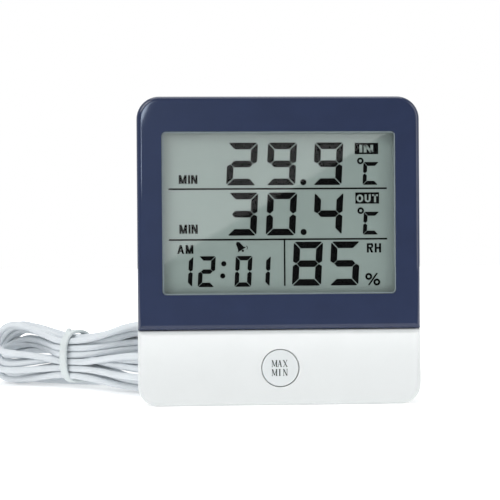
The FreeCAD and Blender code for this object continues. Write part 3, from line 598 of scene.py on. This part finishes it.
def run_place(layer, nest, side, along):
    """Across and up of a run at a place along the hank."""
    right = fan_place(layer, nest, side, RIGHT_RADIUS, RIGHT_LEAN, RIGHT_HEIGHT)
    left = fan_place(layer, nest, side, LEFT_RADIUS, LEFT_LEAN, LEFT_HEIGHT)
    stagger = WAIST_STAGGER if layer % 2 else -WAIST_STAGGER
    waist = Vector(((layer - 1.5) * WAIST_STEP, WAIST_HEIGHT + side * WAIST[nest] + stagger))
    if along < TIE_AT:
        return right.lerp(waist, ease((along - 22) / 34))
    return waist.lerp(left, ease((along - TIE_AT - 2) / 20))


def fold(start, end, apex, side):
    """A round bend from one run to the next; side is 1 at the left end of the hank and -1 at the right."""
    middle, arm = (start + end) / 2, (start - end) / 2
    reach = max(arm.length, 8.4)
    points = []
    for degrees in range(15, 166, 30):
        angle = math.radians(degrees)
        flat = middle + arm * (1.06 * math.cos(angle))
        along = apex - side * reach * (1 - 1.03 * math.sin(angle))
        points.append(hank_point(along, flat.x, max(flat.y, LOWEST)))
    return points


def make_turns():
    """The hank's turns: four layers, front to back numbered 0 to 3, of three nested turns each."""
    chance = random.Random(11)
    order = [(2, nest) for nest in (2, 1, 0)] + [(1, nest) for nest in (0, 1, 2)]
    order += [(0, nest) for nest in (2, 1, 0)] + [(3, nest) for nest in (0, 1, 2)]
    points = []
    for number, (layer, nest) in enumerate(order):
        inset = CABLE_RADIUS + (2 - nest) * 2.3
        left_apex = HANK_LENGTH - inset - chance.uniform(0, 2.0)
        right_apex = inset + chance.uniform(0, 2.0)
        stops = (right_apex + 17, 31, 40, 49, TIE_AT - 3, TIE_AT + 3, 74, 84.5)
        for side, way in ((1, stops), (-1, stops[::-1])):
            for along in way:
                sway = 0.0 if abs(along - TIE_AT) < 4 else chance.uniform(-SWAY, SWAY)
                place = run_place(layer, nest, side, along)
                points.append(hank_point(along, place.x + sway, max(place.y + sway, LOWEST)))
            if side == 1:
                upper, lower = (run_place(layer, nest, level, HANK_LENGTH) for level in (1, -1))
                points += fold(upper, lower, left_apex, 1)
        if number < len(order) - 1:
            following = order[number + 1]
            points += fold(run_place(layer, nest, -1, 0), run_place(*following, 1, 0), right_apex, -1)
    # the lead comes in along the first turn's upper run, and the tail leaves along the last turn's lower run
    return points[1:-7]


def make_cable():
    route = [Vector(point) for point in LEAD_ROUTE] + make_turns() + [Vector(point) for point in TAIL_ROUTE]
    curve = bpy.data.curves.new("probe_cable", "CURVE")
    curve.dimensions = "3D"
    spline = curve.splines.new("NURBS")
    spline.points.add(len(route) - 1)
    for point, place in zip(spline.points, route):
        point.co = (*(place * MM), 1.0)
    spline.order_u = 3
    spline.use_endpoint_u = True
    spline.resolution_u = 6
    curve.bevel_depth = CABLE_RADIUS * MM
    curve.bevel_resolution = 5
    curve.use_fill_caps = True
    cable = bpy.data.objects.new("probe_cable", curve)
    bpy.context.scene.collection.objects.link(cable)
    dress(cable, "cable_pvc")
    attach(cable, CASE)
    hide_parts("probe_cable_lead", "probe_cable_hank", "probe_cable_tail")
    return cable


def make_tie():
    """A flat soft band once round the hank's waist; its free end stands up a little at the top."""
    around, edge = 72, 16
    breadth, height, middle_height, squareness = 6.9, 10.0, 12.5, 0.75
    points, faces = [], []

    def section(middle, outward, width, thick):
        for k in range(edge):
            turn = 2 * math.pi * k / edge
            wide = width * math.copysign(abs(math.cos(turn)) ** 0.6, math.cos(turn))
            deep = thick * math.copysign(abs(math.sin(turn)) ** 0.8, math.sin(turn))
            along, across, up = middle
            points.append(hank_point(along + wide, across + outward[0] * deep, up + outward[1] * deep) * MM)

    def skin(first, count, closed):
        for i in range(count if closed else count - 1):
            for k in range(edge):
                here, there = first + i * edge, first + (i + 1) % count * edge
                faces.append((here + k, here + (k + 1) % edge, there + (k + 1) % edge, there + k))

    for i in range(around):
        angle = 2 * math.pi * i / around
        across = breadth * math.copysign(abs(math.cos(angle)) ** squareness, math.cos(angle))
        up = middle_height + height * math.copysign(abs(math.sin(angle)) ** squareness, math.sin(angle))
        outward = Vector((math.cos(angle) / breadth, math.sin(angle) / height)).normalized()
        section((TIE_AT - 3.8 - 0.2 * across, across, up), outward, 1.75, 0.7)
    skin(0, around, True)
    first = len(points)
    stops = [(-4.2, 21.3), (-3.6, 22.2), (-2.8, 22.9), (-1.8, 23.4)]
    for i, (across, up) in enumerate(stops):
        section((TIE_AT - 2.4 + 0.3 * i, across, up), Vector((-0.6, 0.8)), 1.3 - 0.1 * i, 0.55)
    skin(first, len(stops), False)
    faces.append(tuple(range(len(points) - edge, len(points))))
    mesh = bpy.data.meshes.new("hank_band")
    mesh.from_pydata(points, [], faces)
    shaped = bmesh.new()
    shaped.from_mesh(mesh)
    bmesh.ops.recalc_face_normals(shaped, faces=shaped.faces)
    shaped.to_mesh(mesh)
    shaped.free()
    mesh.shade_smooth()
    tie = new_piece("hank_band", mesh, "tie_pvc", CASE)
    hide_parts("hank_tie")
    return tie


# --- Stage, lights and camera -------------------------------------------------------------------


def make_floor():
    mesh = bpy.data.meshes.new("floor")
    reach, front = 3.0, -0.26
    mesh.from_pydata([(-reach, front, 0), (reach, front, 0), (reach, reach, 0), (-reach, reach, 0)], [],
                     [(0, 1, 2, 3)])
    floor = bpy.data.objects.new("floor", mesh)
    bpy.context.scene.collection.objects.link(floor)
    dress(floor, "stage_floor")


def make_world():
    world = bpy.data.worlds.new("studio")
    bpy.context.scene.world = world
    world.use_nodes = True
    nodes, links = world.node_tree.nodes, world.node_tree.links
    nodes.clear()
    output = nodes.new("ShaderNodeOutputWorld")
    mix = nodes.new("ShaderNodeMixShader")
    seen = nodes.new("ShaderNodeLightPath")
    room, backdrop = nodes.new("ShaderNodeBackground"), nodes.new("ShaderNodeBackground")
    room.inputs["Color"].default_value = (0.95, 0.98, 1.0, 1)
    # the room is bright behind the object and dim in front of it
    split = nodes.new("ShaderNodeSeparateXYZ")
    share = nodes.new("ShaderNodeMapRange")
    for name, value in (("From Min", -0.3), ("From Max", 0.5), ("To Min", 0.24), ("To Max", 0.62)):
        share.inputs[name].default_value = value
    links.new(nodes.new("ShaderNodeTexCoord").outputs["Generated"], split.inputs["Vector"])
    links.new(split.outputs["Y"], share.inputs["Value"])
    links.new(share.outputs["Result"], room.inputs["Strength"])
    backdrop.inputs["Strength"].default_value = 1.0
    backdrop.inputs["Color"].default_value = (1, 1, 1, 1)
    links.new(seen.outputs["Is Camera Ray"], mix.inputs["Fac"])
    links.new(room.outputs["Background"], mix.inputs[1])
    links.new(backdrop.outputs["Background"], mix.inputs[2])
    links.new(mix.outputs["Shader"], output.inputs["Surface"])


def area_light(name, place, aim, size, power, colour=(1, 1, 1), only=()):
    """A soft box at place, turned to aim, in metres. It lights all pieces, or only those given."""
    data = bpy.data.lights.new(name, "AREA")
    data.shape = "RECTANGLE"
    data.size, data.size_y = size
    data.energy = power
    data.color = colour
    light = bpy.data.objects.new(name, data)
    bpy.context.scene.collection.objects.link(light)
    toward = (Vector(aim) - Vector(place)).normalized()
    light.matrix_world = Matrix.Translation(place) @ toward.to_track_quat("-Z", "Y").to_matrix().to_4x4()
    if only:
        group = bpy.data.collections.new(name + "_pieces")
        for piece in only:
            group.objects.link(piece)
        light.light_linking.receiver_collection = group
    return light


def reflected_box(name, node, place, roll, size, radiance, colour=(1, 1, 1)):
    """A box that faces the object squarely and is seen only as a reflection in one node."""
    x, _, z = place
    box = area_light(name, place, (x, 0, z), size, radiance * math.pi * size[0] * size[1], colour,
                     only=[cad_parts[node]])
    box.rotation_euler = (math.radians(90), math.radians(roll), 0)
    box.visible_diffuse = False
    box.visible_camera = False


def make_lights():
    middle = (0, 0, 0.05)
    area_light("key_box", (-0.75, -0.65, 0.85), middle, (0.7, 0.7), 6.6)
    area_light("fill_box", (0.95, -0.55, 0.45), middle, (0.7, 0.9), 3.6, (1.0, 0.985, 0.96))
    area_light("top_box", (0.0, 0.1, 1.2), middle, (1.0, 1.0), 5.0)
    # boxes that only shiny fronts mirror: across the display, at the bezel's corner, along the panel's top
    over_display = ((-0.083, -0.6, 0.377), -30, (1.1, 0.6))
    reflected_box("lens_card", "display_lens", *over_display, 1.3)
    reflected_box("glass_card", "lcd_glass", *over_display, 1.9)
    pale_blue = (0.72, 0.84, 1.0)
    reflected_box("corner_card", "front_bezel", (-0.133, -0.6, 0.193), 22, (0.12, 0.2), 9.5, pale_blue)
    reflected_box("panel_card", "front_lower_panel", (0.0, -0.09, 0.03), 0, (0.4, 0.025), 7.0)
    area_light("rear_box", (0.2, 1.2, 0.7), middle, (0.9, 0.7), 1.0)


def make_camera():
    data = bpy.data.cameras.new("camera")
    data.sensor_width = 36.0
    data.lens = 81.8
    data.clip_start = 0.01
    camera = bpy.data.objects.new("camera", data)
    bpy.context.scene.collection.objects.link(camera)
    yaw, roll, distance, height = math.radians(2.4), math.radians(0.4), 0.400, 0.0548
    aside = yaw + math.atan(0.0104 / distance)
    camera.location = (-distance * math.sin(aside), FRONT_Y * MM - distance * math.cos(aside), height)
    turn = Matrix.Rotation(-yaw, 4, "Z") @ Matrix.Rotation(math.radians(90), 4, "X")
    turn = turn @ Matrix.Rotation(-roll, 4, "Z")
    camera.rotation_euler = turn.to_euler()
    bpy.context.scene.camera = camera


make_display()
make_lens_highlight_ring()
make_key_legend()
make_rear_legends()
cable = make_cable()
tie = make_tie()
make_floor()
make_world()
make_lights()
make_camera()
bpy.context.scene.view_settings.view_transform = "Standard"
